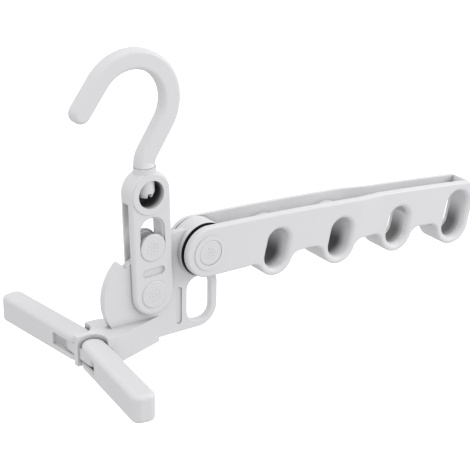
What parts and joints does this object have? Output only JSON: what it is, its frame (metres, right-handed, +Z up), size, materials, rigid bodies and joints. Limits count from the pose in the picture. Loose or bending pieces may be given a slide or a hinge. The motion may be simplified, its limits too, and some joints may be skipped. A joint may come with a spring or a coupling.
{
  "type": "folding clothes hanger",
  "caption": "Folding travel clothes hanger with a swivelling rod hook, a locking link, a finger ring, folding wall arms and a drooping rail with slots for other hangers' hooks.",
  "frame": {"origin": "where the inside of the hook rests on a rod", "axes": "+Z up, +X along the rail away from the wall arms, -Y towards the side that shows the pin heads' front"},
  "size_m": [0.3016, 0.159, 0.1812],
  "materials": {
    "white_plastic": "satin"
  },
  "bodies": {
    "hook_body": {"hook": "white_plastic"},
    "link_body": {"link_fork": "white_plastic", "link_pin": "white_plastic", "link_pin_cap": "white_plastic"},
    "lock_body": {"lock_button": "white_plastic", "lock_button_back": "white_plastic"},
    "blade_body": {"body": "white_plastic"},
    "rail_body": {"rail_front_shell": "white_plastic", "rail_back_shell": "white_plastic", "rail_sleeve_1": "white_plastic", "rail_sleeve_2": "white_plastic", "rail_sleeve_3": "white_plastic", "rail_sleeve_4": "white_plastic", "rail_pin": "white_plastic", "rail_pin_cap": "white_plastic"},
    "front_arm_body": {"front_wall_arm": "white_plastic", "front_arm_pin": "white_plastic"},
    "rear_arm_body": {"rear_wall_arm": "white_plastic", "rear_arm_pin": "white_plastic"}
  },
  "joints": [
    {"name": "hook_swivel", "type": "hinge", "parent": "hook_body", "child": "link_body", "pos_m": [0.00893, 0, -0.05964], "axis": [-0.0349, 0, 0.9994], "continuous": true},
    {"name": "lock_slide", "type": "slide", "parent": "link_body", "child": "lock_body", "axis": [-0.0349, 0, 0.9994], "range_m": [0, 0.0106]},
    {"name": "link_pivot", "type": "hinge", "parent": "link_body", "child": "blade_body", "pos_m": [0.01155, 0, -0.13459], "axis": [0, 1, 0], "range_deg": [0, 33]},
    {"name": "rail_pivot", "type": "hinge", "parent": "blade_body", "child": "rail_body", "pos_m": [0.04585, 0, -0.11429], "axis": [0, -1, 0], "range_deg": [0, 76]},
    {"name": "front_arm_hinge", "type": "hinge", "parent": "blade_body", "child": "front_arm_body", "pos_m": [-0.03145, -0.0092, -0.16114], "axis": [0, 0, -1], "range_deg": [0, 83]},
    {"name": "rear_arm_hinge", "type": "hinge", "parent": "blade_body", "child": "rear_arm_body", "pos_m": [-0.03145, 0.0092, -0.16114], "axis": [0, 0, 1], "range_deg": [0, 83]}
  ]
}
